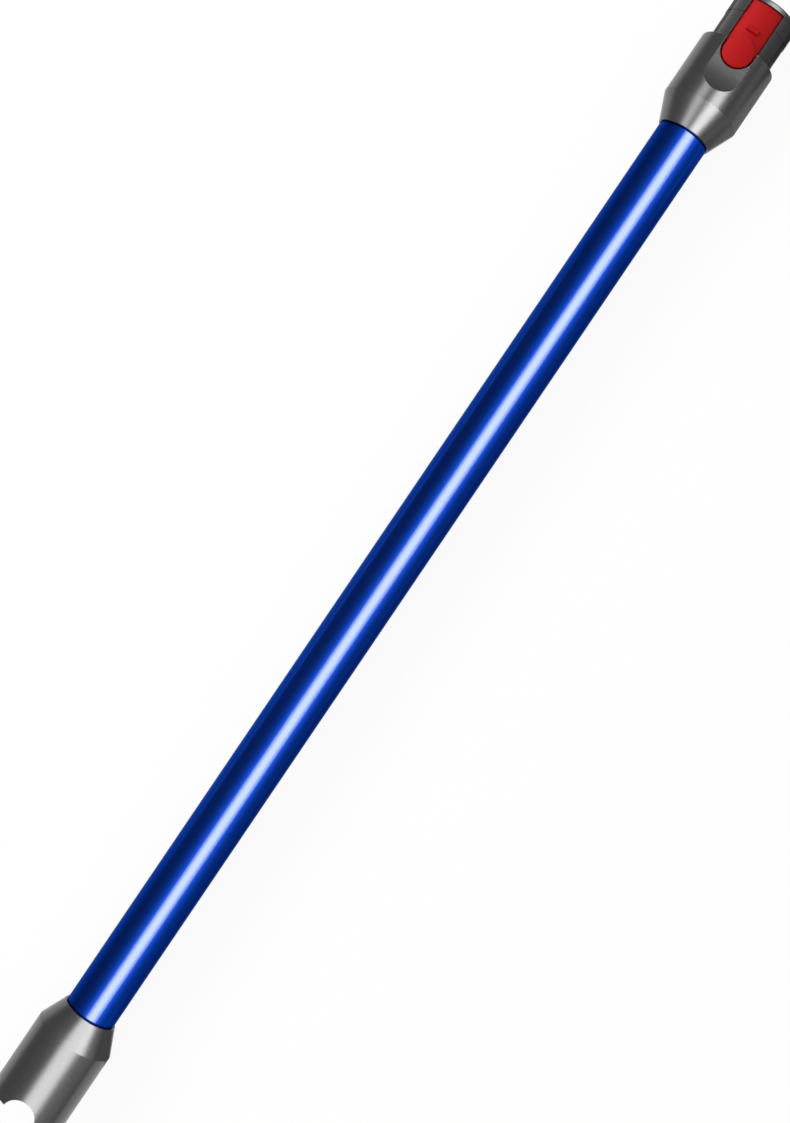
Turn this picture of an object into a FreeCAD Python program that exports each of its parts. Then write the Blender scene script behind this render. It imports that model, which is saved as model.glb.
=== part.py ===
import FreeCAD, Part
import math
import os

# Quick-release vacuum wand, lying on its two cuffs with the button up.
# The wand's axis runs along X, spigot at +X and socket at -X.
# Shapes are made about that axis and lifted onto the floor when they are saved.

Vec = FreeCAD.Vector

# Driving dimensions, in millimetres

# Tube
TUBE_OD = 32.0
TUBE_WALL = 1.0
TUBE_EXPOSED = 623.5
UPPER_TUBE_SEAT = 20.0

# Cuffs
SHOULDER_HEIGHT = 3.8
CUFF_LIP = 1.0
CUFF_LAND = 6.0
UPPER_CUFF_LENGTH = 56.3
UPPER_CONE_LENGTH = 17.1
LOWER_CUFF_LENGTH = 65.1
LOWER_CONE_LENGTH = 16.2
EDGE_ROUND = 0.5
LIP_ROUND = 0.3

# Fits between fixed pieces
FIT = 0.1
PIN_FIT = 0.05

# Ducts and air path
DUCT_WALL = 1.5
DUCT_INSERT = 18.0
FLOOR_ABOVE_LEADS = 3.5

# Spigot
SPIGOT_LENGTH = 31.3
SPIGOT_WALL = 1.8
BUTTON_ROOM = 3.8
SPIGOT_LAND = 12.6
LAND_RELIEF = 0.3
RIM_GROOVE = 0.5
MOUTH_ROUND = 1.2
RIM_THICKNESS = 3.1
FLANGE_THICKNESS = 4.0

# Socket
SOCKET_CLEARANCE = 0.3
LINER_WALL = 1.8
SOCKET_FLOOR = 6.0
MOUTH_CHAMFER = 0.6
SEAL_RELIEF = 0.4
SEAL_THICKNESS = 1.6
SEAL_WIDTH = 3.9
NOTCH_RADIUS = 10.5
NOTCH_OFFSET = 1.6

# Release button
PLATE_WIDTH = 19.9
PLATE_THICKNESS = 1.8
PLATE_RECESS = 1.2
PLATE_END_GAP = 0.4
SLOT_GAP = 0.45
PAD_DIAMETER = 18.8
PAD_THICKNESS = 4.0
PAD_RISE = 3.0
PAD_BELOW_SHOULDER = 4.6
PAD_ROUND = 0.8
CATCH_ABOVE_SHOULDER = 9.7
CATCH_LENGTH = 3.2
CATCH_WIDTH = 8.0
CATCH_LAND = 0.8
CATCH_RISE = 0.8
CATCH_ROUND = 0.4
HINGE_SETBACK = 2.8
HINGE_RADIUS = 1.0
HINGE_FIT = 0.05
HINGE_REACH = 1.5
LUG_RADIUS = 1.6
LUG_WIDTH = 1.5
EAR_WIDTH = 2.6
HEEL_GAP = 0.3
HEEL_WIDTH = 10.0

# Thumb scoop in the upper cuff
SCOOP_WIDTH = 21.8
SCOOP_BELOW_SHOULDER = 31.3
SCOOP_FLOOR_WALL = 0.9
SCOOP_END_STEP = 0.7

# Button spring
SPRING_WIRE = 0.5
SPRING_RADIUS = 2.4
SPRING_TURNS = 4
SPRING_ROOM = 0.75
SPRING_SEAT = 0.4
SPRING_NUB = 1.1
SPRING_POCKET_ROOF = 1.9

# Leads, plug and receptacle
LEAD_RADIUS = 0.8
LEAD_SPREAD = 4.0
LEAD_INSET = 1.8
CONDUIT_WEB = 1.0
CONDUIT_WALL = 0.8
PLUG_LENGTH = 14.0
PLUG_WIDTH = 16.0
PLUG_HEIGHT = 5.2
PLUG_SKIRT = 1.6
PLUG_RECESS = 4.2
PLUG_SURROUND = 1.4
PIN_RADIUS = 0.8
PIN_SETBACK = 0.6
PIN_TAIL = 1.5
NOSE_LENGTH = 5.1
NOSE_CLEARANCE = 0.3
RECEPTACLE_DEPTH = 5.4
CONTACT_WALL = 0.3

# Tube seals and screws
TUBE_SEAL_SETBACK = 2.0
TUBE_SEAL_WIDTH = 1.6
TUBE_SEAL_DEPTH = 0.7
SCREW_RADIUS = 1.1
SCREW_HEAD_RADIUS = 2.2
SCREW_LENGTH = 5.6
SCREW_FIRST = 4.5
SCREW_PITCH = 6.5
SCREWS_PER_END = 2
SCREW_CROSS_WIDTH = 0.5
SCREW_CROSS_LENGTH = 2.4
SCREW_CROSS_DEPTH = 0.7

# Radii worked out from the driving dimensions
tube_r = TUBE_OD / 2
tube_bore_r = tube_r - TUBE_WALL
duct_r = tube_bore_r - FIT
air_r = duct_r - DUCT_WALL
shell_bore_r = duct_r + BUTTON_ROOM
spigot_r = shell_bore_r + SPIGOT_WALL
seat_r = spigot_r - LAND_RELIEF
cuff_r = spigot_r + SHOULDER_HEIGHT
lip_r = tube_r + CUFF_LIP
tube_land_r = tube_r + FIT
upper_bore_r = seat_r + FIT
socket_r = spigot_r + SOCKET_CLEARANCE
relief_r = socket_r + SEAL_RELIEF
liner_r = socket_r + LINER_WALL
lower_bore_r = liner_r + FIT
plate_r = spigot_r - PLATE_RECESS
plate_under_r = plate_r - PLATE_THICKNESS
pad_top_r = plate_r + PAD_RISE
pad_under_r = pad_top_r - PAD_THICKNESS
pad_r = PAD_DIAMETER / 2
slot_half = PLATE_WIDTH / 2 + SLOT_GAP
scoop_half = SCOOP_WIDTH / 2
wire_hole_r = LEAD_RADIUS + FIT

# Depths below the axis: the leads lie close to the tube's underside, the air path's floor over them
lead_drop = math.sqrt((duct_r - LEAD_INSET) ** 2 - LEAD_SPREAD ** 2)
air_flat = lead_drop - FLOOR_ABOVE_LEADS

# Stations along the axis, from the socket's rim to the spigot's tip
overall = LOWER_CUFF_LENGTH + TUBE_EXPOSED + UPPER_CUFF_LENGTH + SPIGOT_LENGTH
rim_x = -overall / 2
lower_lip_x = rim_x + LOWER_CUFF_LENGTH
lower_ridge_x = lower_lip_x - LOWER_CONE_LENGTH
upper_lip_x = lower_lip_x + TUBE_EXPOSED
upper_ridge_x = upper_lip_x + UPPER_CONE_LENGTH
shoulder_x = upper_lip_x + UPPER_CUFF_LENGTH
tip_x = shoulder_x + SPIGOT_LENGTH
floor_x = rim_x + SPIGOT_LENGTH + SEAL_THICKNESS + FIT
nose_x = floor_x - NOSE_LENGTH
fit_end_x = nose_x - NOSE_CLEARANCE
tube_low_x = floor_x + SOCKET_FLOOR
tube_top_x = upper_lip_x + UPPER_TUBE_SEAT
lower_insert_x = tube_low_x + DUCT_INSERT
upper_insert_x = tube_top_x - DUCT_INSERT
flange_x = tube_top_x + FLANGE_THICKNESS
slot_top_x = tip_x - RIM_THICKNESS
land_x = tip_x - SPIGOT_LAND
plate_top_x = slot_top_x - PLATE_END_GAP
hinge_x = plate_top_x - HINGE_SETBACK
pad_x = shoulder_x - PAD_BELOW_SHOULDER
catch_x = shoulder_x + CATCH_ABOVE_SHOULDER
plug_back_x = tip_x - PLUG_LENGTH
receptacle_back_x = floor_x + RECEPTACLE_DEPTH
upper_tail_x = plug_back_x - PIN_TAIL
lower_tail_x = receptacle_back_x + PIN_TAIL

# The hinge lies just above the underside of the plate's long edges
hinge_z = math.sqrt(plate_under_r ** 2 - (PLATE_WIDTH / 2) ** 2) + HINGE_RADIUS / 2

# A margin that carries cutting tools clear of the faces they pass through
PAST = 5.0


def along(x0, x1, radius, y=0.0, z=0.0):
    """Round bar parallel to the wand's axis, with its seam line underneath."""
    bar = Part.makeCylinder(radius, x1 - x0, Vec(x0, y, z), Vec(1, 0, 0))
    return bar.rotated(Vec(x0, y, z), Vec(1, 0, 0), 180)


def ring(x0, x1, inner, outer):
    """Plain ring about the wand's axis."""
    return along(x0, x1, outer).cut(along(x0 - PAST, x1 + PAST, inner))


def across(y0, y1, radius, x, z):
    """Round bar parallel to Y."""
    return Part.makeCylinder(radius, y1 - y0, Vec(x, y0, z), Vec(0, 1, 0))


def upright(z0, z1, radius, x, y=0.0):
    """Round bar parallel to Z."""
    return Part.makeCylinder(radius, z1 - z0, Vec(x, y, z0), Vec(0, 0, 1))


def block(x0, x1, y0, y1, z0, z1):
    """Square block between two corners."""
    return Part.makeBox(x1 - x0, y1 - y0, z1 - z0, Vec(x0, y0, z0))


def rounded_edges(corners):
    """Edges of a closed outline of (point, radius) corners, each rounded by its own radius."""
    starts = []
    edges = []
    for index, (point, radius) in enumerate(corners):
        before = (corners[index - 1][0] - point).normalize()
        after = (corners[(index + 1) % len(corners)][0] - point).normalize()
        if radius == 0:
            starts.append((point, point))
            continue
        half = before.getAngle(after) / 2
        reach = radius / math.tan(half)
        bisector = (before + after).normalize()
        enter = point + before * reach
        leave = point + after * reach
        middle = point + bisector * (radius / math.sin(half) - radius)
        edges.append(Part.Arc(enter, middle, leave).toShape())
        starts.append((enter, leave))
    for index, (enter, leave) in enumerate(starts):
        following = starts[(index + 1) % len(starts)][0]
        edges.append(Part.LineSegment(leave, following).toShape())
    return edges


def turned(profile):
    """Solid of revolution of (x, r, rounding) corners, with its seam line underneath."""
    corners = [(Vec(x, 0, -r), rounding) for x, r, rounding in profile]
    wire = Part.Wire(Part.__sortEdges__(rounded_edges(corners)))
    return Part.Face(wire).revolve(Vec(0, 0, 0), Vec(1, 0, 0), 360)


def button_outline(half, x_end, z0, z1):
    """Upright prism with straight sides, closed by a half circle about the pad's centre."""
    straight = block(pad_x, x_end, -half, half, z0, z1)
    return straight.fuse(upright(z0, z1, half, pad_x)).removeSplitter()


def airway(x0, x1):
    """The air path: a round bore with a flat floor over the leads."""
    room = block(x0, x1, -air_r, air_r, -air_flat, air_r)
    return along(x0, x1, air_r).common(room)


def both_sides(shape):
    """The shape and its mirror image across the wand's middle plane."""
    return shape.fuse(shape.mirror(Vec(0, 0, 0), Vec(0, 1, 0)))


def wire_holes(x0, x1):
    return both_sides(along(x0, x1, wire_hole_r, LEAD_SPREAD, -lead_drop))


def seal_band(tip, inward, inner, outer, width):
    """Band about a duct, set back from the duct's tip. inward points from tip to flange."""
    centre = tip + inward * (TUBE_SEAL_SETBACK + TUBE_SEAL_WIDTH / 2)
    return ring(centre - width / 2, centre + width / 2, inner, outer)


def seal_groove(tip, inward):
    return seal_band(tip, inward, duct_r - TUBE_SEAL_DEPTH, duct_r + PAST, TUBE_SEAL_WIDTH + 2 * FIT)


def screw_stations(tube_end, inward):
    return [tube_end + inward * (SCREW_FIRST + n * SCREW_PITCH) for n in range(SCREWS_PER_END)]


def screw(x, grow):
    """Countersunk screw from below through the tube wall. grow enlarges it to cut its hole."""
    head = Part.makeCone(
        SCREW_HEAD_RADIUS + grow, SCREW_RADIUS + grow, TUBE_WALL, Vec(x, 0, -tube_r), Vec(0, 0, 1)
    )
    return head.fuse(upright(-tube_r, SCREW_LENGTH - tube_r + grow, SCREW_RADIUS + grow, x))


def screw_holes(tube_end, inward):
    return Part.makeCompound([screw(x, PIN_FIT) for x in screw_stations(tube_end, inward)])


def screws(tube_end, inward):
    made = []
    for x in screw_stations(tube_end, inward):
        half_width = SCREW_CROSS_WIDTH / 2
        half_length = SCREW_CROSS_LENGTH / 2
        roof = SCREW_CROSS_DEPTH - tube_r
        lengthways = block(x - half_length, x + half_length, -half_width, half_width, -tube_r, roof)
        crossways = block(x - half_width, x + half_width, -half_length, half_length, -tube_r, roof)
        made.append(screw(x, 0).cut(lengthways).cut(crossways))
    return Part.makeCompound(made)


def make_tube():
    wall = ring(tube_low_x, tube_top_x, tube_bore_r, tube_r)
    return wall.cut(screw_holes(tube_low_x, 1)).cut(screw_holes(tube_top_x, -1))


def make_wire_conduit():
    """Extrusion in the bottom of the tube: a flat web with two lead channels under it."""
    x0 = lower_insert_x
    x1 = upper_insert_x
    web = along(x0, x1, duct_r).common(
        block(x0, x1, -duct_r, duct_r, -air_flat - CONDUIT_WEB, -air_flat)
    )
    channel = along(x0, x1, wire_hole_r + CONDUIT_WALL, LEAD_SPREAD, -lead_drop)
    stem = block(
        x0, x1, LEAD_SPREAD - wire_hole_r, LEAD_SPREAD + wire_hole_r, -lead_drop, -air_flat
    )
    return web.fuse(both_sides(channel.fuse(stem))).cut(wire_holes(x0, x1)).removeSplitter()


def make_lead(side):
    return along(lower_tail_x, upper_tail_x, LEAD_RADIUS, side * LEAD_SPREAD, -lead_drop)


def scoop_tool():
    """Thumb scoop: flat beside the pad, rising in an arc to its half-round low end."""
    low_x = shoulder_x - SCOOP_BELOW_SHOULDER
    flat_x = pad_x - slot_half
    floor_z = upper_bore_r + SCOOP_FLOOR_WALL
    end_z = cuff_r - SCOOP_END_STEP
    rise = end_z - floor_z
    run = flat_x - low_x
    radius = (run ** 2 + rise ** 2) / (2 * rise)
    middle_x = flat_x - run / 2
    middle_z = floor_z + radius - math.sqrt(radius ** 2 - (run / 2) ** 2)
    top_z = cuff_r + PAST
    end_x = shoulder_x + PAST
    low = Vec(low_x, -scoop_half, end_z)
    flat = Vec(flat_x, -scoop_half, floor_z)
    corner = Vec(end_x, -scoop_half, floor_z)
    top_right = Vec(end_x, -scoop_half, top_z)
    top_left = Vec(low_x, -scoop_half, top_z)
    edges = [
        Part.Arc(low, Vec(middle_x, -scoop_half, middle_z), flat).toShape(),
        Part.LineSegment(flat, corner).toShape(),
        Part.LineSegment(corner, top_right).toShape(),
        Part.LineSegment(top_right, top_left).toShape(),
        Part.LineSegment(top_left, low).toShape(),
    ]
    above_floor = Part.Face(Part.Wire(edges)).extrude(Vec(0, SCOOP_WIDTH, 0))
    round_x = low_x + scoop_half
    plan = block(round_x, end_x, -scoop_half, scoop_half, 0, top_z)
    plan = plan.fuse(upright(0, top_z, scoop_half, round_x)).removeSplitter()
    return above_floor.common(plan)


def make_upper_cuff():
    body = turned([
        (upper_lip_x, tube_land_r, 0),
        (upper_lip_x, lip_r, LIP_ROUND),
        (upper_ridge_x, cuff_r, 0),
        (shoulder_x, cuff_r, EDGE_ROUND),
        (shoulder_x, upper_bore_r, 0),
        (tube_top_x - FIT, upper_bore_r, 0),
        (upper_lip_x + CUFF_LAND, tube_land_r, 0),
    ])
    slot = button_outline(slot_half, shoulder_x + PAST, 0, cuff_r + PAST)
    return body.cut(scoop_tool()).cut(slot)


def make_spigot_body():
    """Outer shell, end rim and inner duct in one moulding, with the button's slot on top."""
    body = turned([
        (tube_top_x, 0, 0),
        (tube_top_x, seat_r, 0),
        (land_x, seat_r, 0),
        (land_x, spigot_r, 0),
        (slot_top_x - RIM_GROOVE, spigot_r, 0),
        (slot_top_x - RIM_GROOVE, seat_r, 0),
        (slot_top_x, seat_r, 0),
        (slot_top_x, spigot_r, 0),
        (tip_x, spigot_r, MOUTH_ROUND),
        (tip_x, 0, 0),
    ])
    body = body.cut(ring(flange_x, slot_top_x, duct_r, shell_bore_r))
    body = body.fuse(along(upper_insert_x, tube_top_x, duct_r))
    surround = plug_box(plug_back_x - PLUG_SURROUND, slot_top_x, PLUG_SURROUND)
    ear = block(
        hinge_x - HINGE_SETBACK, slot_top_x, slot_half, slot_half + EAR_WIDTH,
        hinge_z - EAR_WIDTH, spigot_r
    ).common(along(flange_x, tip_x, spigot_r - SPIGOT_WALL / 2))
    seat = upright(0, duct_r + SPRING_SEAT, SPRING_RADIUS + SPRING_ROOM, pad_x)
    nub = upright(0, duct_r + SPRING_SEAT + SPRING_NUB, SPRING_RADIUS - SPRING_ROOM, pad_x)
    for extra in (surround, both_sides(ear), seat, nub):
        body = body.fuse(extra)
    slot = button_outline(slot_half, slot_top_x, 0, spigot_r + PAST)
    slot = slot.cut(along(flange_x, tip_x, shell_bore_r - SPIGOT_WALL / 2))
    hinge_hole = across(
        slot_half - HINGE_REACH, slot_half + HINGE_REACH + FIT, HINGE_RADIUS + HINGE_FIT, hinge_x, hinge_z
    )
    for tool in (
        airway(upper_insert_x - PAST, tip_x + PAST),
        slot,
        both_sides(hinge_hole),
        wire_holes(upper_insert_x - PAST, plug_back_x + PAST),
        plug_box(plug_back_x, tip_x + PAST, FIT),
        seal_groove(upper_insert_x, 1),
        screw_holes(tube_top_x, -1),
    ):
        body = body.cut(tool)
    return body.removeSplitter()


def make_release_button():
    """Curved plate and round thumb pad in one moulding, rocking on two stub trunnions."""
    half = PLATE_WIDTH / 2
    shell = ring(pad_x, plate_top_x, plate_under_r, plate_r)
    plate = shell.common(block(pad_x, plate_top_x, -half, half, 0, spigot_r))
    pad = ring(pad_x - pad_r, pad_x + pad_r, pad_under_r, pad_top_r)
    pad = pad.common(upright(0, cuff_r, pad_r, pad_x))
    top = max(pad.Faces, key=lambda face: face.CenterOfMass.z)
    pad = pad.makeFillet(PAD_ROUND, top.OuterWire.Edges)
    crest_z = spigot_r + CATCH_RISE
    root_z = math.sqrt(plate_under_r ** 2 - (CATCH_WIDTH / 2) ** 2) + PLATE_THICKNESS / 2
    catch_end_x = catch_x + CATCH_LENGTH
    corners = [
        Vec(catch_x, -CATCH_WIDTH / 2, root_z),
        Vec(catch_x, -CATCH_WIDTH / 2, crest_z),
        Vec(catch_x + CATCH_LAND, -CATCH_WIDTH / 2, crest_z),
        Vec(catch_end_x, -CATCH_WIDTH / 2, plate_r),
        Vec(catch_end_x, -CATCH_WIDTH / 2, root_z),
    ]
    catch = Part.Face(Part.makePolygon(corners + corners[:1])).extrude(Vec(0, CATCH_WIDTH, 0))
    edges = [edge for edge in catch.Edges if edge.CenterOfMass.z > (root_z + crest_z) / 2]
    catch = catch.makeFillet(CATCH_ROUND, edges)
    heel = ring(hinge_x + HINGE_RADIUS, plate_top_x, duct_r + HEEL_GAP, plate_under_r + PLATE_THICKNESS / 2)
    heel = heel.common(
        block(hinge_x, plate_top_x, -HEEL_WIDTH / 2, HEEL_WIDTH / 2, 0, spigot_r)
    )
    lug = across(half - LUG_WIDTH, half, LUG_RADIUS, hinge_x, hinge_z)
    trunnion = across(half - LUG_WIDTH, slot_half + HINGE_REACH, HINGE_RADIUS, hinge_x, hinge_z)
    button = plate
    for extra in (pad, catch, heel, both_sides(lug.fuse(trunnion))):
        button = button.fuse(extra)
    pocket = upright(0, pad_top_r - SPRING_POCKET_ROOF, SPRING_RADIUS + SPRING_ROOM, pad_x)
    return button.cut(pocket).removeSplitter()


def make_button_spring():
    """Open coil between the seat on the duct and the pocket in the pad.

    Each turn is a level half ring and a half ring that climbs by one pitch, tangent where they meet.
    """
    seat_z = duct_r + SPRING_SEAT + SPRING_WIRE / 2
    roof_z = pad_top_r - SPRING_POCKET_ROOF - SPRING_WIRE / 2
    pitch = (roof_z - seat_z) / SPRING_TURNS
    across_y = Vec(0, 1, 0)
    climbing_axis = Vec(-pitch / 2, 0, SPRING_RADIUS)
    halves = []
    for turn in range(SPRING_TURNS):
        level = Vec(pad_x, 0, seat_z + turn * pitch)
        middle = level + Vec(0, 0, pitch / 2)
        right = Part.makeCircle(SPRING_WIRE / 2, level + Vec(SPRING_RADIUS, 0, 0), across_y)
        left = Part.makeCircle(SPRING_WIRE / 2, level - Vec(SPRING_RADIUS, 0, 0), across_y)
        halves.append(Part.Face(Part.Wire(right)).revolve(level, Vec(0, 0, 1), 180))
        halves.append(Part.Face(Part.Wire(left)).revolve(middle, climbing_axis, 180))
    return halves[0].multiFuse(halves[1:]).removeSplitter()


def plug_box(x0, x1, grow):
    """The outline of the plug and receptacle blocks, enlarged all round by grow."""
    half_width = PLUG_WIDTH / 2 + grow
    half_height = PLUG_HEIGHT / 2 + grow
    return block(x0, x1, -half_width, half_width, -lead_drop - half_height, half_height - lead_drop)


def make_plug_block():
    body = plug_box(plug_back_x, tip_x, 0)
    recess = plug_box(tip_x - PLUG_RECESS, tip_x + PAST, -PLUG_SKIRT / 2)
    pins = both_sides(along(plug_back_x - PAST, tip_x, PIN_RADIUS + PIN_FIT, LEAD_SPREAD, -lead_drop))
    return body.cut(recess).cut(pins)


def make_plug_pin(side):
    return along(upper_tail_x, tip_x - PIN_SETBACK, PIN_RADIUS, side * LEAD_SPREAD, -lead_drop)


def make_socket_liner():
    """Socket bore, floor and tube insert in one moulding, notched at the rim."""
    body = along(rim_x, tube_low_x, liner_r).fuse(along(tube_low_x, lower_insert_x, duct_r))
    bore = turned([
        (rim_x - PAST, 0, 0),
        (rim_x - PAST, socket_r + MOUTH_CHAMFER, 0),
        (rim_x, socket_r + MOUTH_CHAMFER, 0),
        (rim_x + MOUTH_CHAMFER, socket_r, 0),
        (fit_end_x, socket_r, 0),
        (fit_end_x, relief_r, 0),
        (floor_x, relief_r, 0),
        (floor_x, 0, 0),
    ])
    window_x = rim_x + CATCH_ABOVE_SHOULDER - FIT
    window_half = CATCH_WIDTH / 2 + SLOT_GAP
    window = block(
        window_x, window_x + CATCH_LENGTH + 2 * SLOT_GAP, -window_half, window_half, 0, liner_r + PAST
    )
    for tool in (
        bore,
        window,
        rim_notch(),
        airway(floor_x - PAST, lower_insert_x + PAST),
        wire_holes(floor_x, lower_insert_x + PAST),
        plug_box(floor_x - PAST, receptacle_back_x, FIT),
        seal_groove(lower_insert_x, -1),
        screw_holes(tube_low_x, 1),
    ):
        body = body.cut(tool)
    return body.removeSplitter()


def rim_notch():
    """Half-round bite in the top of the socket's rim, where the mating tool's pad sits."""
    return upright(0, cuff_r + PAST, NOTCH_RADIUS, rim_x - NOTCH_OFFSET)


def make_lower_cuff():
    body = turned([
        (rim_x, lower_bore_r, 0),
        (rim_x, cuff_r, EDGE_ROUND),
        (lower_ridge_x, cuff_r, 0),
        (lower_lip_x, lip_r, LIP_ROUND),
        (lower_lip_x, tube_land_r, 0),
        (lower_lip_x - CUFF_LAND, tube_land_r, 0),
        (tube_low_x + FIT, lower_bore_r, 0),
    ])
    return body.cut(rim_notch())


def make_socket_seal():
    outer = relief_r - FIT
    return ring(floor_x - SEAL_THICKNESS, floor_x, outer - SEAL_WIDTH, outer)


def make_receptacle_block():
    """Block set in the socket's floor, with a nose that enters the mating plug's recess."""
    body = plug_box(floor_x, receptacle_back_x - FIT, 0)
    nose = plug_box(nose_x, floor_x, -PLUG_SKIRT / 2 - NOSE_CLEARANCE)
    sleeve_r = PIN_RADIUS + PIN_FIT + CONTACT_WALL
    sleeves = along(nose_x - PAST, floor_x, sleeve_r + PIN_FIT, LEAD_SPREAD, -lead_drop)
    tails = along(floor_x, receptacle_back_x + PAST, PIN_RADIUS + PIN_FIT, LEAD_SPREAD, -lead_drop)
    return body.fuse(nose).cut(both_sides(sleeves.fuse(tails)))


def make_receptacle_contact(side):
    """Brass sleeve in the nose, with a solid tail to the lead."""
    place = (side * LEAD_SPREAD, -lead_drop)
    sleeve = along(nose_x + PIN_SETBACK, floor_x, PIN_RADIUS + PIN_FIT + CONTACT_WALL, *place)
    tail = along(floor_x, lower_tail_x, PIN_RADIUS, *place)
    hole = along(nose_x, floor_x - PIN_SETBACK, PIN_RADIUS + PIN_FIT, *place)
    return sleeve.fuse(tail).cut(hole)


def make_tube_seal(tip, inward):
    return seal_band(tip, inward, duct_r - TUBE_SEAL_DEPTH + PIN_FIT, tube_bore_r - PIN_FIT, TUBE_SEAL_WIDTH)


nodes = {
    "tube": make_tube(),
    "wire_conduit": make_wire_conduit(),
    "lead_red": make_lead(1),
    "lead_black": make_lead(-1),
    "upper_cuff": make_upper_cuff(),
    "spigot_body": make_spigot_body(),
    "release_button": make_release_button(),
    "button_spring": make_button_spring(),
    "plug_block": make_plug_block(),
    "plug_pin_left": make_plug_pin(1),
    "plug_pin_right": make_plug_pin(-1),
    "upper_tube_seal": make_tube_seal(upper_insert_x, 1),
    "upper_tube_screws": screws(tube_top_x, -1),
    "lower_cuff": make_lower_cuff(),
    "socket_liner": make_socket_liner(),
    "socket_seal": make_socket_seal(),
    "receptacle_block": make_receptacle_block(),
    "receptacle_contact_left": make_receptacle_contact(1),
    "receptacle_contact_right": make_receptacle_contact(-1),
    "lower_tube_seal": make_tube_seal(lower_insert_x, -1),
    "lower_tube_screws": screws(tube_low_x, 1),
}

os.makedirs("parts", exist_ok=True)
for name, shape in nodes.items():
    shape.translate(Vec(0, 0, cuff_r))
    shape.exportStep("parts/" + name + ".step")
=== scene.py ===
"""Looks of the quick-release vacuum wand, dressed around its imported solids."""

import math

import bpy
from mathutils import Matrix, Vector


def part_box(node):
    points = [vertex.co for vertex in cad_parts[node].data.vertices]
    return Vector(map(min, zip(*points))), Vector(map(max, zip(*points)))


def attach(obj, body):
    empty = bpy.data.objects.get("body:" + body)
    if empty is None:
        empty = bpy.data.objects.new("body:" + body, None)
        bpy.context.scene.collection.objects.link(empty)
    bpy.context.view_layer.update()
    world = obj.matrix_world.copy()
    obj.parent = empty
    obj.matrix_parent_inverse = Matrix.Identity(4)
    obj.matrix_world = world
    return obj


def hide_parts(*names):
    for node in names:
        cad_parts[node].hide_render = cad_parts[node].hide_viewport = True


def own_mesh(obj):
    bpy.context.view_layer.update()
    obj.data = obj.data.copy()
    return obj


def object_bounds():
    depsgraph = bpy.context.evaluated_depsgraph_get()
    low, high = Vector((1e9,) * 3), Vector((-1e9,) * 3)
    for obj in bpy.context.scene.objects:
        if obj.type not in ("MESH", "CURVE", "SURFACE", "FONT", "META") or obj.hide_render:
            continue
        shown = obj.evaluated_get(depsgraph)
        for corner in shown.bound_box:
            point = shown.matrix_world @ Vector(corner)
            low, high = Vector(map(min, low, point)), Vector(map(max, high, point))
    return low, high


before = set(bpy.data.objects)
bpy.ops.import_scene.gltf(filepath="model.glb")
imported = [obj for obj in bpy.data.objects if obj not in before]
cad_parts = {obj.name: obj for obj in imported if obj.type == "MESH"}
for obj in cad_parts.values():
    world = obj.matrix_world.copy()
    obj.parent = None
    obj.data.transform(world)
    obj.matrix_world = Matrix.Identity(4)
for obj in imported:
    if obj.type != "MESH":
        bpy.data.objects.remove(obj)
solid_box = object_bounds()


# Blue tube. A drawn aluminium tube, polished, dyed blue in the anodising bath and sealed.
# Both of its ends are pushed into the end mouldings and held by screws under the cuffs.

MM = 0.001


def linear(hex_code):
    """An sRGB hex colour as linear RGBA."""
    channels = [int(hex_code[i:i + 2], 16) / 255 for i in (0, 2, 4)]
    return [c / 12.92 if c <= 0.04045 else ((c + 0.055) / 1.055) ** 2.4 for c in channels] + [1.0]


def add_node(tree, kind, links=None, **settings):
    """Add one node. links gives its inputs a value, or the output of an earlier node."""
    made = tree.nodes.new(kind)
    for name, value in settings.items():
        setattr(made, name, value)
    for name, value in (links or {}).items():
        if isinstance(value, bpy.types.NodeSocket):
            tree.links.new(value, made.inputs[name])
        else:
            made.inputs[name].default_value = value
    return made


def new_material(name, **constants):
    """A named material with its shader, its node tree and the place on the piece in metres."""
    material = bpy.data.materials.new(name)
    material.use_nodes = True
    tree = material.node_tree
    shader = tree.nodes["Principled BSDF"]
    for socket, value in constants.items():
        shader.inputs[socket.replace("_", " ")].default_value = value
    place = add_node(tree, "ShaderNodeTexCoord").outputs["Object"]
    return material, tree, shader, place


def vary(tree, shader, pattern, tones, roughness=None):
    """Let a pattern vary the colour between two tones, and the roughness between two values."""
    colour = add_node(tree, "ShaderNodeMix", {
        "Factor": pattern, "A": linear(tones[0]), "B": linear(tones[1])
    }, data_type="RGBA").outputs["Result"]
    tree.links.new(colour, shader.inputs["Base Color"])
    gloss = None
    if roughness:
        gloss = add_node(tree, "ShaderNodeMapRange", {
            "Value": pattern, "To Min": roughness[0], "To Max": roughness[1]
        }).outputs["Result"]
        tree.links.new(gloss, shader.inputs["Roughness"])
    return colour, gloss


def dress(node_names, material):
    """Give CAD nodes their finish."""
    for node_name in node_names:
        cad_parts[node_name].material_slots[0].material = material


# Anodised aluminium: the dyed oxide lets the metal shine through blue, and its clear sealed skin
# mirrors the lamps in near white where it faces the eye. The draw lines lie about 0.2 mm apart on
# such a tube, and are drawn 1.5 mm apart so that they show.
DRAW_LINE = 1.5 * MM
DRAW_LENGTH = 160 * MM
SKIN_FULL = 0.12
SKIN_GONE = 0.42
anodised, tree, shader, place = new_material(
    "anodised_aluminium_blue",
    Metallic=1.0, Coat_Roughness=0.16, Coat_IOR=1.9, Specular_Tint=linear("BCC1C8")
)
drawn_out = add_node(tree, "ShaderNodeMapping", {
    "Vector": place, "Scale": (1 / DRAW_LENGTH, 1 / DRAW_LINE, 1 / DRAW_LINE)
}).outputs["Vector"]
draw_lines = add_node(tree, "ShaderNodeTexNoise", {
    "Vector": drawn_out, "Scale": 1.0, "Detail": 3.0
}).outputs["Fac"]
dye = vary(tree, shader, draw_lines, ("003EB0", "0044BA"), (0.46, 0.52))[0]

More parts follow.
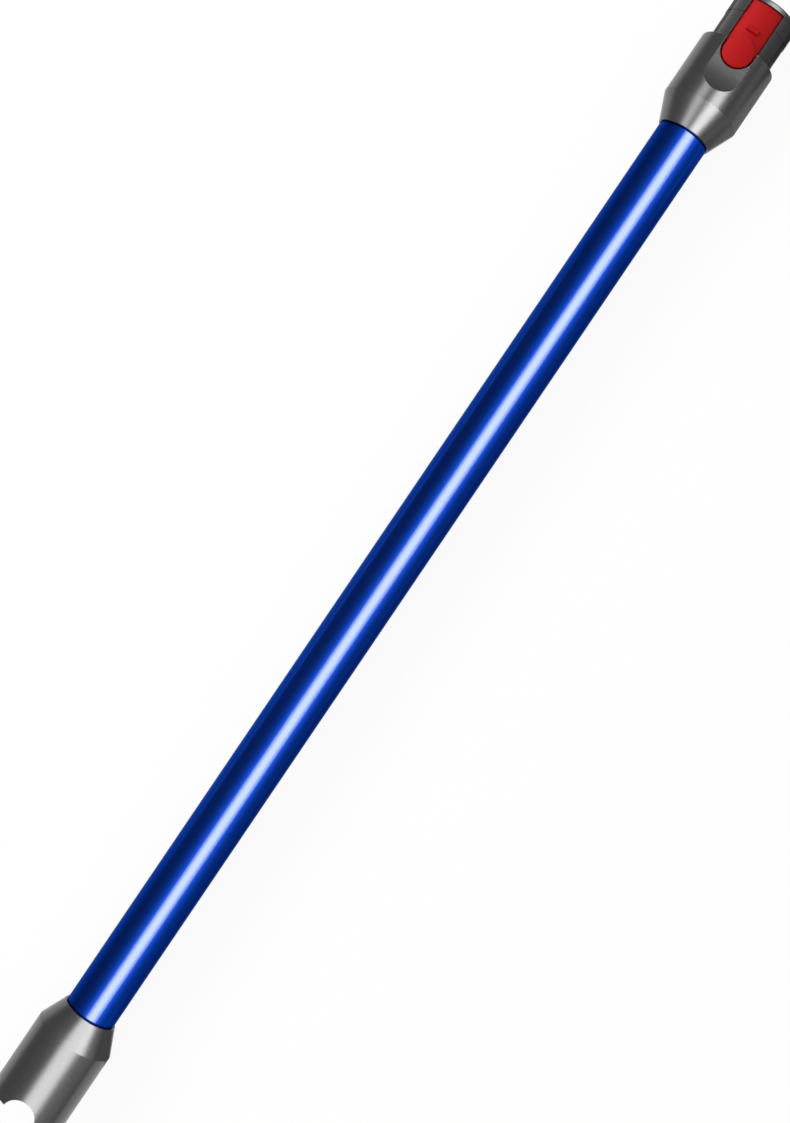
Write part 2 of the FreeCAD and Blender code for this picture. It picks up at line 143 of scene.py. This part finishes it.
# Painted shade and painted dark reflection: a dark band round each end of the tube, where the cuff's
# lip shades it and mirrors dark in it, with the sealed skin taken off there.
LIP_SHADE_WIDTH = 1.0 * MM
LIP_SHADE_BLUR = 0.4 * MM
tube_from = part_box("lower_cuff")[1][0]
tube_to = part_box("upper_cuff")[0][0]
half_bare = (tube_to - tube_from) / 2
along = add_node(tree, "ShaderNodeSeparateXYZ", {"Vector": place}).outputs["X"]
from_middle = add_node(tree, "ShaderNodeMath", {
    0: along, 1: (tube_from + tube_to) / 2
}, operation="SUBTRACT").outputs[0]
off_middle = add_node(tree, "ShaderNodeMath", {0: from_middle}, operation="ABSOLUTE").outputs[0]
painted_lip_shade = add_node(tree, "ShaderNodeMapRange", {
    "Value": off_middle,
    "From Min": half_bare - LIP_SHADE_WIDTH - LIP_SHADE_BLUR, "From Max": half_bare - LIP_SHADE_WIDTH
}).outputs["Result"]
# Painted shade: the dye turns dark navy in the band at each end of the tube.
dye_with_painted_shade = add_node(tree, "ShaderNodeMix", {
    "Factor": painted_lip_shade, "A": dye, "B": linear("001A50")
}, data_type="RGBA").outputs["Result"]
tree.links.new(dye_with_painted_shade, shader.inputs["Base Color"])

facing = add_node(tree, "ShaderNodeLayerWeight", {"Blend": 0.5}).outputs["Facing"]
sealed_skin = add_node(tree, "ShaderNodeMapRange", {
    "Value": facing, "From Min": SKIN_FULL, "From Max": SKIN_GONE, "To Min": 1.0, "To Max": 0.0
}).outputs["Result"]
bare_skin = add_node(tree, "ShaderNodeMath", {
    0: sealed_skin, 1: painted_lip_shade
}, operation="SUBTRACT", use_clamp=True).outputs[0]
tree.links.new(bare_skin, shader.inputs["Coat Weight"])
dress(["tube"], anodised)


# Wire conduit and leads. A black nylon extrusion lies along the bottom of the tube's bore, and two
# PVC-covered leads run in it from the plug at the upper end to the receptacle at the lower end.
# The blocks of the plug and the receptacle are of the same nylon.

# Extruded nylon: satin black with faint die lines along its length.
DIE_LINE = 0.8 * MM
DIE_LENGTH = 120 * MM
nylon, tree, shader, place = new_material("extruded_nylon_black", IOR=1.53)
drawn_out = add_node(tree, "ShaderNodeMapping", {
    "Vector": place, "Scale": (1 / DIE_LENGTH, 1 / DIE_LINE, 1 / DIE_LINE)
}).outputs["Vector"]
die_lines = add_node(tree, "ShaderNodeTexNoise", {
    "Vector": drawn_out, "Scale": 1.0, "Detail": 2.0
}).outputs["Fac"]
vary(tree, shader, die_lines, ("161618", "1E1E20"), (0.38, 0.5))
dress(["wire_conduit", "plug_block", "receptacle_block"], nylon)

# PVC insulation: coloured right through, with a soft gloss and a slow mottle from the extruder.
MOTTLE = 6 * MM
for lead, colour_name, tones in (
    ("lead_red", "red", ("8E1512", "A81C17")),
    ("lead_black", "black", ("121213", "1B1B1D")),
):
    pvc, tree, shader, place = new_material("pvc_insulation_" + colour_name, IOR=1.53)
    mottle = add_node(tree, "ShaderNodeTexNoise", {"Vector": place, "Scale": 1 / MOTTLE})
    vary(tree, shader, mottle.outputs["Fac"], tones, (0.3, 0.42))
    dress([lead], pvc)


# Spigot and socket liner. Dark grey ABS mouldings that carry the tube's ends and the air duct.
# Their fine spark-eroded texture comes from the mould, and they are screwed to the tube.

# Moulded ABS: an even dark grey with a satin sheen that the texture breaks up. Its grain is about
# 0.1 mm wide on the real piece, and is drawn 0.7 mm wide so that it shows.
SPARK_GRAIN = 0.7 * MM
GRAIN_DEPTH = 0.05 * MM
abs_grey, tree, shader, place = new_material("moulded_abs_dark_grey", IOR=1.53)
grain = add_node(tree, "ShaderNodeTexNoise", {
    "Vector": place, "Scale": 1 / SPARK_GRAIN, "Detail": 2.0
}).outputs["Fac"]
spark_grey, spark_gloss = vary(tree, shader, grain, ("393939", "434343"), (0.34, 0.42))
grain_bump = add_node(tree, "ShaderNodeBump", {
    "Height": grain, "Strength": 0.05, "Distance": GRAIN_DEPTH
}).outputs["Normal"]
tree.links.new(grain_bump, shader.inputs["Normal"])

# Two dark bands of painted shade run up the flanks of the spigot, from the cuff's shoulder to the
# end rim, and are rougher there.
# Their angles are taken from the top of the spigot, and only its outer skin is painted.
FLANK_SHADE_FROM = math.radians(60)
FLANK_SHADE_TO = math.radians(80)
FLANK_SHADE_BLUR = math.radians(1.2)
FLANK_SHADE_SKIN = 1.0 * MM
FLANK_SHADE_ROUGHNESS = 0.6
END_RIM = 3.6 * MM
spigot_low, spigot_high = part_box("spigot_body")
spigot_radius = (spigot_high[2] - spigot_low[2]) / 2
axis_height = (spigot_high[2] + spigot_low[2]) / 2
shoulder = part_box("upper_cuff")[1][0]
flank_shade_end = spigot_high[0] - END_RIM
about_axis = add_node(tree, "ShaderNodeMapping", {
    "Vector": place, "Location": (0, 0, -axis_height)
}).outputs["Vector"]
at = add_node(tree, "ShaderNodeSeparateXYZ", {"Vector": about_axis}).outputs
across = add_node(tree, "ShaderNodeMath", {0: at["Y"]}, operation="ABSOLUTE").outputs[0]
round_from_top = add_node(tree, "ShaderNodeMath", {
    0: across, 1: at["Z"]
}, operation="ARCTAN2").outputs[0]
past_start = add_node(tree, "ShaderNodeMapRange", {
    "Value": round_from_top, "From Min": FLANK_SHADE_FROM, "From Max": FLANK_SHADE_FROM + FLANK_SHADE_BLUR
}).outputs["Result"]
before_end = add_node(tree, "ShaderNodeMapRange", {
    "Value": round_from_top, "From Min": FLANK_SHADE_TO, "From Max": FLANK_SHADE_TO + FLANK_SHADE_BLUR,
    "To Min": 1.0, "To Max": 0.0
}).outputs["Result"]
off_axis = add_node(tree, "ShaderNodeCombineXYZ", {"Y": at["Y"], "Z": at["Z"]}).outputs["Vector"]
from_axis = add_node(tree, "ShaderNodeVectorMath", {
    0: off_axis
}, operation="LENGTH").outputs["Value"]
on_skin = add_node(tree, "ShaderNodeMath", {
    0: from_axis, 1: spigot_radius - FLANK_SHADE_SKIN
}, operation="GREATER_THAN").outputs[0]
on_length = add_node(tree, "ShaderNodeMath", {
    0: at["X"], 1: (shoulder + flank_shade_end) / 2, 2: (flank_shade_end - shoulder) / 2
}, operation="COMPARE").outputs[0]
painted_flank_shade = past_start
for limit in (before_end, on_skin, on_length):
    painted_flank_shade = add_node(tree, "ShaderNodeMath", {0: painted_flank_shade, 1: limit}, operation="MINIMUM").outputs[0]
# Painted shade: the flanks turn near black inside the bands.
grey_with_painted_shade = add_node(tree, "ShaderNodeMix", {
    "Factor": painted_flank_shade, "A": spark_grey, "B": linear("101011")
}, data_type="RGBA").outputs["Result"]
tree.links.new(grey_with_painted_shade, shader.inputs["Base Color"])
gloss_in_painted_shade = add_node(tree, "ShaderNodeMix", {
    "Factor": painted_flank_shade, "A": spark_gloss, "B": FLANK_SHADE_ROUGHNESS
}).outputs["Result"]
tree.links.new(gloss_in_painted_shade, shader.inputs["Roughness"])
dress(["spigot_body", "socket_liner"], abs_grey)


# Seals. Two moulded bands of black EPDM rubber seal the ducts in the tube's ends, and a flat ring
# of the same rubber seals the socket's floor. The squeeze between the pieces holds them.

# Moulded EPDM: dull black, with the faint grey bloom that rubber sweats out in patches.
BLOOM = 3 * MM
rubber, tree, shader, place = new_material("moulded_epdm_black", IOR=1.52)
bloom = add_node(tree, "ShaderNodeTexNoise", {"Vector": place, "Scale": 1 / BLOOM, "Detail": 4.0})
vary(tree, shader, bloom.outputs["Fac"], ("141415", "232325"), (0.6, 0.78))
dress(["upper_tube_seal", "lower_tube_seal", "socket_seal"], rubber)


# Metal fittings. Zinc-plated screws hold the mouldings to the tube, under the cuffs. Turned brass
# pins in the plug and brass sleeves in the receptacle carry the current.

# Zinc plate gives a pale, slightly cloudy grey shine, and turned brass a warm yellow one. Their
# tool marks are about 0.1 mm apart, and are drawn 0.6 mm apart so that they show.
TOOL_MARK = 0.6 * MM
for name, members, tones, roughness in (
    ("zinc_plated_steel", ["upper_tube_screws", "lower_tube_screws"],
     ("9A9CA0", "B4B6BA"), (0.25, 0.4)),
    ("turned_brass", ["plug_pin_left", "plug_pin_right",
                      "receptacle_contact_left", "receptacle_contact_right"],
     ("B08A3C", "C9A24C"), (0.2, 0.32)),
):
    metal, tree, shader, place = new_material(name, Metallic=1.0)
    marks = add_node(tree, "ShaderNodeTexNoise", {"Vector": place, "Scale": 1 / TOOL_MARK})
    vary(tree, shader, marks.outputs["Fac"], tones, roughness)
    dress(members, metal)


# Button spring. An open coil of steel wire, each turn a level half and a climbing half. It stands on
# the spigot's seat in the pocket under the thumb pad. The real spring shortens as the pad is
# pressed, and this coil is built at its resting length.

# Drawn spring steel: a bright cool grey, streaked by marks of the die that are drawn coarse too.
spring_steel, tree, shader, place = new_material("drawn_spring_steel", Metallic=1.0)
marks = add_node(tree, "ShaderNodeTexNoise", {"Vector": place, "Scale": 1 / TOOL_MARK})
vary(tree, shader, marks.outputs["Fac"], ("8C8E92", "A6A8AC"), (0.22, 0.34))
dress(["button_spring"], spring_steel)

SPRING_WIRE = 0.5 * MM
SPRING_TURNS = 4
TURN_STEPS = 32
WIRE_SIDES = 10
spring_low, spring_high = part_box("button_spring")
spring_height = spring_high[2] - spring_low[2]
coil_radius = (spring_high[0] - spring_low[0] - SPRING_WIRE) / 2
pitch = (spring_height - SPRING_WIRE) / SPRING_TURNS
spring_foot = Vector(((spring_low[0] + spring_high[0]) / 2, 0, spring_low[2]))
upright = Vector((0, 0, 1))
wire_points = []
wire_faces = []
steps = SPRING_TURNS * TURN_STEPS
for step in range(steps + 1):
    turns, part_turn = divmod(step, TURN_STEPS)
    climbed = turns + max(0, 2 * part_turn / TURN_STEPS - 1)
    turned = math.tau * step / TURN_STEPS
    outward = Vector((math.cos(turned), math.sin(turned), 0))
    centre = spring_foot + outward * coil_radius + upright * (SPRING_WIRE / 2 + pitch * climbed)
    for side in range(WIRE_SIDES):
        around = math.tau * side / WIRE_SIDES
        from_centre = outward * math.cos(around) + upright * math.sin(around)
        wire_points.append(centre + from_centre * SPRING_WIRE / 2)
        here = step * WIRE_SIDES + side
        beside = step * WIRE_SIDES + (side + 1) % WIRE_SIDES
        if step < steps:
            wire_faces.append((here, here + WIRE_SIDES, beside + WIRE_SIDES, beside))
last_point = len(wire_points) - 1
wire_faces.append(range(WIRE_SIDES))
wire_faces.append(range(last_point, last_point - WIRE_SIDES, -1))
coil_mesh = bpy.data.meshes.new("spring_coil")
coil_mesh.from_pydata(wire_points, [], wire_faces)
coil_mesh.shade_smooth()
coil_mesh.materials.append(spring_steel)
coil = bpy.data.objects.new("spring_coil", coil_mesh)
bpy.context.scene.collection.objects.link(coil)
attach(coil, "wand")
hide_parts("button_spring")
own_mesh(coil)


# Release button. One red ABS moulding, a curved plate with a round thumb pad at its lower end.
# It rocks on two stub trunnions in the spigot and is fine-textured where the thumb lies.

# Moulded ABS, red right through: a clear strong colour with a low satin sheen. Its grain, too, is
# about 0.1 mm wide on the real piece, and is drawn 0.6 mm wide so that it shows.
THUMB_GRAIN = 0.6 * MM
abs_red, tree, shader, place = new_material("moulded_abs_red", IOR=1.53, Specular_IOR_Level=0.25)
grain = add_node(tree, "ShaderNodeTexNoise", {
    "Vector": place, "Scale": 1 / THUMB_GRAIN, "Detail": 2.0
}).outputs["Fac"]
vary(tree, shader, grain, ("B2080D", "BC0A10"), (0.34, 0.44))
grain_bump = add_node(tree, "ShaderNodeBump", {
    "Height": grain, "Strength": 0.04, "Distance": GRAIN_DEPTH
}).outputs["Normal"]
tree.links.new(grain_bump, shader.inputs["Normal"])
dress(["release_button"], abs_red)


# Cuffs. Two grey ABS sleeves, sprayed with a metallic paint. They slide over the mouldings, cover
# the screws, and leave a scoop for the thumb at the upper end and a notched rim at the lower end.

# Metallic paint: its aluminium flake gives a soft broad glow under a lamp, and dark flanks. The
# flakes are about 0.03 mm across, and are drawn 0.4 mm across so that they show.
FLAKE = 0.4 * MM
flake_paint, tree, shader, place = new_material("metallic_paint_grey", Metallic=0.7, IOR=1.5)
flake = add_node(tree, "ShaderNodeTexVoronoi", {"Vector": place, "Scale": 1 / FLAKE})
vary(tree, shader, flake.outputs["Color"], ("595959", "636363"), (0.28, 0.33))
dress(["upper_cuff", "lower_cuff"], flake_paint)


# Floor. A matt white sheet of paper under the wand, wide enough for every view. It is lifted to
# white for the camera and in reflections, and keeps a faint shadow of the wand.

FLOOR_SIZE = 16.0
FLOOR_LIFT = 0.92
bpy.ops.mesh.primitive_plane_add(size=FLOOR_SIZE, location=(0, 0, 0))
floor = bpy.context.object
floor.name = "floor"


def seen_directly(tree):
    """1 for camera, glossy and transmission rays, which show a background, and 0 for the rest."""
    rays = add_node(tree, "ShaderNodeLightPath").outputs
    seen = add_node(tree, "ShaderNodeMath", {
        0: rays["Is Camera Ray"], 1: rays["Is Glossy Ray"]
    }, operation="ADD").outputs[0]
    return add_node(tree, "ShaderNodeMath", {
        0: seen, 1: rays["Is Transmission Ray"]
    }, operation="ADD", use_clamp=True).outputs[0]


# Matt paper: white with no gloss at all, barely clouded by its fibres.
FIBRE = 4 * MM
sheet, tree, shader, place = new_material("matt_white_sheet", Roughness=1.0, Specular_IOR_Level=0.0)
fibre = add_node(tree, "ShaderNodeTexNoise", {"Vector": place, "Scale": 1 / FIBRE})
vary(tree, shader, fibre.outputs["Fac"], ("FCFCFC", "FEFEFE"))
lift = add_node(tree, "ShaderNodeMapRange", {"Value": seen_directly(tree), "To Max": FLOOR_LIFT})
glow = add_node(tree, "ShaderNodeEmission", {"Color": (1, 1, 1, 1)})
lit_white = add_node(tree, "ShaderNodeMixShader", {
    0: lift.outputs["Result"], 1: shader.outputs["BSDF"], 2: glow.outputs["Emission"]
})
tree.links.new(lit_white.outputs["Shader"], tree.nodes["Material Output"].inputs["Surface"])
floor.data.materials.append(sheet)


# Light. An even white sky and one soft key lamp from the left light every colour as it is written.
# Long lamps, a black tent and strips of card beside the wand show only in the gloss of its pieces.
# The sky isn't sampled as a lamp, because it would then shine through the tent onto the gloss.

SKY = 0.62
world = bpy.data.worlds.new("studio")
bpy.context.scene.world = world
world.use_nodes = True
world.cycles.sampling_method = "NONE"
tree = world.node_tree
sky = add_node(tree, "ShaderNodeMapRange", {
    "Value": seen_directly(tree), "To Min": SKY, "To Max": 1.0
})
tree.links.new(sky.outputs["Result"], tree.nodes["Background"].inputs["Strength"])
tree.nodes["Background"].inputs["Color"].default_value = (1, 1, 1, 1)

WAND_HEIGHT = solid_box[1][2] / 2


def long_lamp(name, lean_from, lean_to, ends, brightness, reach, on=None):
    """A lamp along the wand, seen between two angles from upright, positive towards -Y.

    A lamp with pieces to be on shows in their gloss alone, and one without lights everything.
    """
    lean = math.radians((lean_from + lean_to) / 2)
    half = math.radians((lean_to - lean_from) / 2)
    lamp = bpy.data.lights.new(name, "AREA")
    lamp.shape = "RECTANGLE"
    lamp.size = ends[1] - ends[0]
    lamp.size_y = 2 * reach * math.tan(half)
    lamp.energy = brightness * math.pi * lamp.size * lamp.size_y
    holder = bpy.data.objects.new(name, lamp)
    bpy.context.scene.collection.objects.link(holder)
    holder.location = (
        (ends[0] + ends[1]) / 2, -reach * math.sin(lean), WAND_HEIGHT + reach * math.cos(lean)
    )
    holder.rotation_euler = (lean, 0, 0)
    holder.visible_camera = False
    if on:
        holder.visible_diffuse = False
        lit = bpy.data.collections.new(name + "_lights")
        for node_name in on:
            lit.objects.link(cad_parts[node_name])
        holder.light_linking.receiver_collection = lit
    else:
        holder.visible_glossy = False


KEY_REACH = 1.5
KEY_ENDS = (-1.2, 1.2)
long_lamp("key_lamp", -65, -35, KEY_ENDS, 3.2, KEY_REACH)

# Lamps for the gloss, each flagged off the pieces that it isn't for. A core or cone lamp hangs a
# little below the lamp that it adds to, and a fill hangs low enough to clear the tent's flags.
GLOSS_REACH = 0.5
CORE_REACH = 0.45
CONE_REACH = 0.48
FILL_REACH = 0.17
FULL_LENGTH = (-1.0, 1.0)
SHORT_OF_SCOOP = (-1.0, 0.56)
OVER_LOWER_CONE = (-0.25, 0.15)
OVER_UPPER_CONE = (-0.2, 0.25)
OVER_SPIGOT = (0.3, 0.9)
lower_end = ["lower_cuff", "socket_liner", "socket_seal", "receptacle_block",
             "receptacle_contact_left", "receptacle_contact_right"]
upper_end = ["upper_cuff", "plug_block", "plug_pin_left", "plug_pin_right"]
long_lamp("tube_lamp", -1, 44, FULL_LENGTH, 3.1, GLOSS_REACH, ["tube"])
long_lamp("tube_core_lamp", 8, 34, FULL_LENGTH, 3.2, CORE_REACH, ["tube"])
long_lamp("lower_cuff_lamp", -11, 36, FULL_LENGTH, 7.4, GLOSS_REACH, lower_end)
long_lamp("lower_cuff_fill", 36, 84, FULL_LENGTH, 0.55, FILL_REACH, lower_end)
long_lamp("lower_cone_lamp", 34, 54, OVER_LOWER_CONE, 8.0, CONE_REACH, lower_end)
long_lamp("upper_cuff_lamp", 10, 38, SHORT_OF_SCOOP, 10.0, GLOSS_REACH, upper_end)
long_lamp("upper_cone_lamp", 37, 44, OVER_UPPER_CONE, 8.0, CONE_REACH, upper_end)
long_lamp("upper_cuff_side_lamp", -32, -10, SHORT_OF_SCOOP, 5.2, GLOSS_REACH, upper_end)
long_lamp("upper_cuff_fill", 70, 94, FULL_LENGTH, 0.5, FILL_REACH, upper_end)
long_lamp("spigot_lamp", -8, 36, OVER_SPIGOT, 12.0, GLOSS_REACH, ["spigot_body"])
long_lamp("button_lamp", -42, -12, FULL_LENGTH, 0.45, GLOSS_REACH, ["release_button"])

# A black tent round the wand that shows in its gloss alone, open at the foot so that the floor
# shows, with strips of card and velvet on the floor beside the pieces that should mirror less white.
TENT_FOOT = 0.2
TENT_KEY_FOOT = 0.3
TENT_FLAG = 0.15
TENT_REACH = 0.8
TENT_SPREAD = math.radians(75)
TENT_HALF_LENGTH = 2.0
TENT_STEPS = 12
STRIP_NEAR = -0.03
STRIP_KEY_NEAR = 0.15
STRIP_LIFT = 1 * MM
STRIP_START = 0.02
STRIP_PAST_TUBE = 0.03
STRIP_PAST_CONE = 0.05
section = [(-TENT_FOOT, 0.0), (-TENT_FOOT, TENT_FLAG)]
for step in range(TENT_STEPS + 1):
    angle = TENT_SPREAD * (2 * step / TENT_STEPS - 1)
    section.append((TENT_REACH * math.sin(angle), TENT_REACH * math.cos(angle)))
section += [(TENT_KEY_FOOT, TENT_FLAG), (TENT_KEY_FOOT, 0.0)]
corners = [(x, y, z) for x in (-TENT_HALF_LENGTH, TENT_HALF_LENGTH) for y, z in section]
count = len(section)
panels = [(i, i + 1, count + i + 1, count + i) for i in range(count - 1)]
VELVET, GREY_CARD, PALE_CARD = range(3)
covers = [VELVET] * len(panels)
for low_end, high_end, near, far, cover in (
    (tube_from - STRIP_PAST_TUBE, tube_to, STRIP_NEAR, -TENT_FOOT, GREY_CARD),
    (tube_to, shoulder + STRIP_START, STRIP_NEAR, -TENT_FOOT, PALE_CARD),
    (shoulder + STRIP_START, TENT_HALF_LENGTH, STRIP_NEAR, -TENT_FOOT, VELVET),
    (-TENT_HALF_LENGTH, tube_from + STRIP_PAST_CONE, STRIP_KEY_NEAR, TENT_KEY_FOOT, VELVET),
    (tube_to - STRIP_PAST_CONE, TENT_HALF_LENGTH, STRIP_KEY_NEAR, TENT_KEY_FOOT, VELVET),
):
    first = len(corners)
    panels.append((first, first + 1, first + 2, first + 3))
    covers.append(cover)
    for x, y in ((low_end, far), (high_end, far), (high_end, near), (low_end, near)):
        corners.append((x, y, STRIP_LIFT))
tent_mesh = bpy.data.meshes.new("black_tent")
tent_mesh.from_pydata(corners, [], panels)
tent_mesh.polygons.foreach_set("material_index", covers)

# Velvet and card: no gloss, and a tone that the nap or the fibres cloud a little.
NAP = 20 * MM
for name, tones in (
    ("black_velvet", ("2A2A2A", "2E2E2E")),
    ("grey_card", ("8C8C8C", "909090")),
    ("pale_card", ("E2E2E2", "E6E6E6")),
):
    cloth, tree, shader, place = new_material(name, Roughness=1.0, Specular_IOR_Level=0.0)
    nap = add_node(tree, "ShaderNodeTexNoise", {"Vector": place, "Scale": 1 / NAP})
    vary(tree, shader, nap.outputs["Fac"], tones)
    tent_mesh.materials.append(cloth)
tent = bpy.data.objects.new("black_tent", tent_mesh)
bpy.context.scene.collection.objects.link(tent)
for ray in ("camera", "diffuse", "transmission", "volume_scatter", "shadow"):
    setattr(tent, "visible_" + ray, False)


# Camera. It looks almost straight down on the wand, which crosses the frame from corner to corner.
# It stands about a metre above the wand and leans a few degrees to one side of it.

VIEW_DISTANCE = 0.944
VIEW_HEIGHT = 0.6624
VIEW_TILT = math.radians(3.3)
VIEW_AIM = (-0.00218, 0.00039, WAND_HEIGHT)
FRAME_RIGHT = (0.5605, -0.8282, 0.0)
FILM_HEIGHT = 36.0
right = Vector(FRAME_RIGHT).normalized()
up = upright.cross(right)
turn = Matrix.Rotation(VIEW_TILT, 3, "X") @ Matrix((right, up, upright)).transposed()
view = bpy.data.cameras.new("photo_view")
view.sensor_fit = "VERTICAL"
view.sensor_height = FILM_HEIGHT
view.lens = FILM_HEIGHT * VIEW_DISTANCE / VIEW_HEIGHT
camera = bpy.data.objects.new("photo_view", view)
bpy.context.scene.collection.objects.link(camera)
stand = Vector(VIEW_AIM) + turn.col[2] * VIEW_DISTANCE
camera.matrix_world = Matrix.Translation(stand) @ turn.to_4x4()
bpy.context.scene.camera = camera
bpy.context.scene.view_settings.view_transform = "Standard"
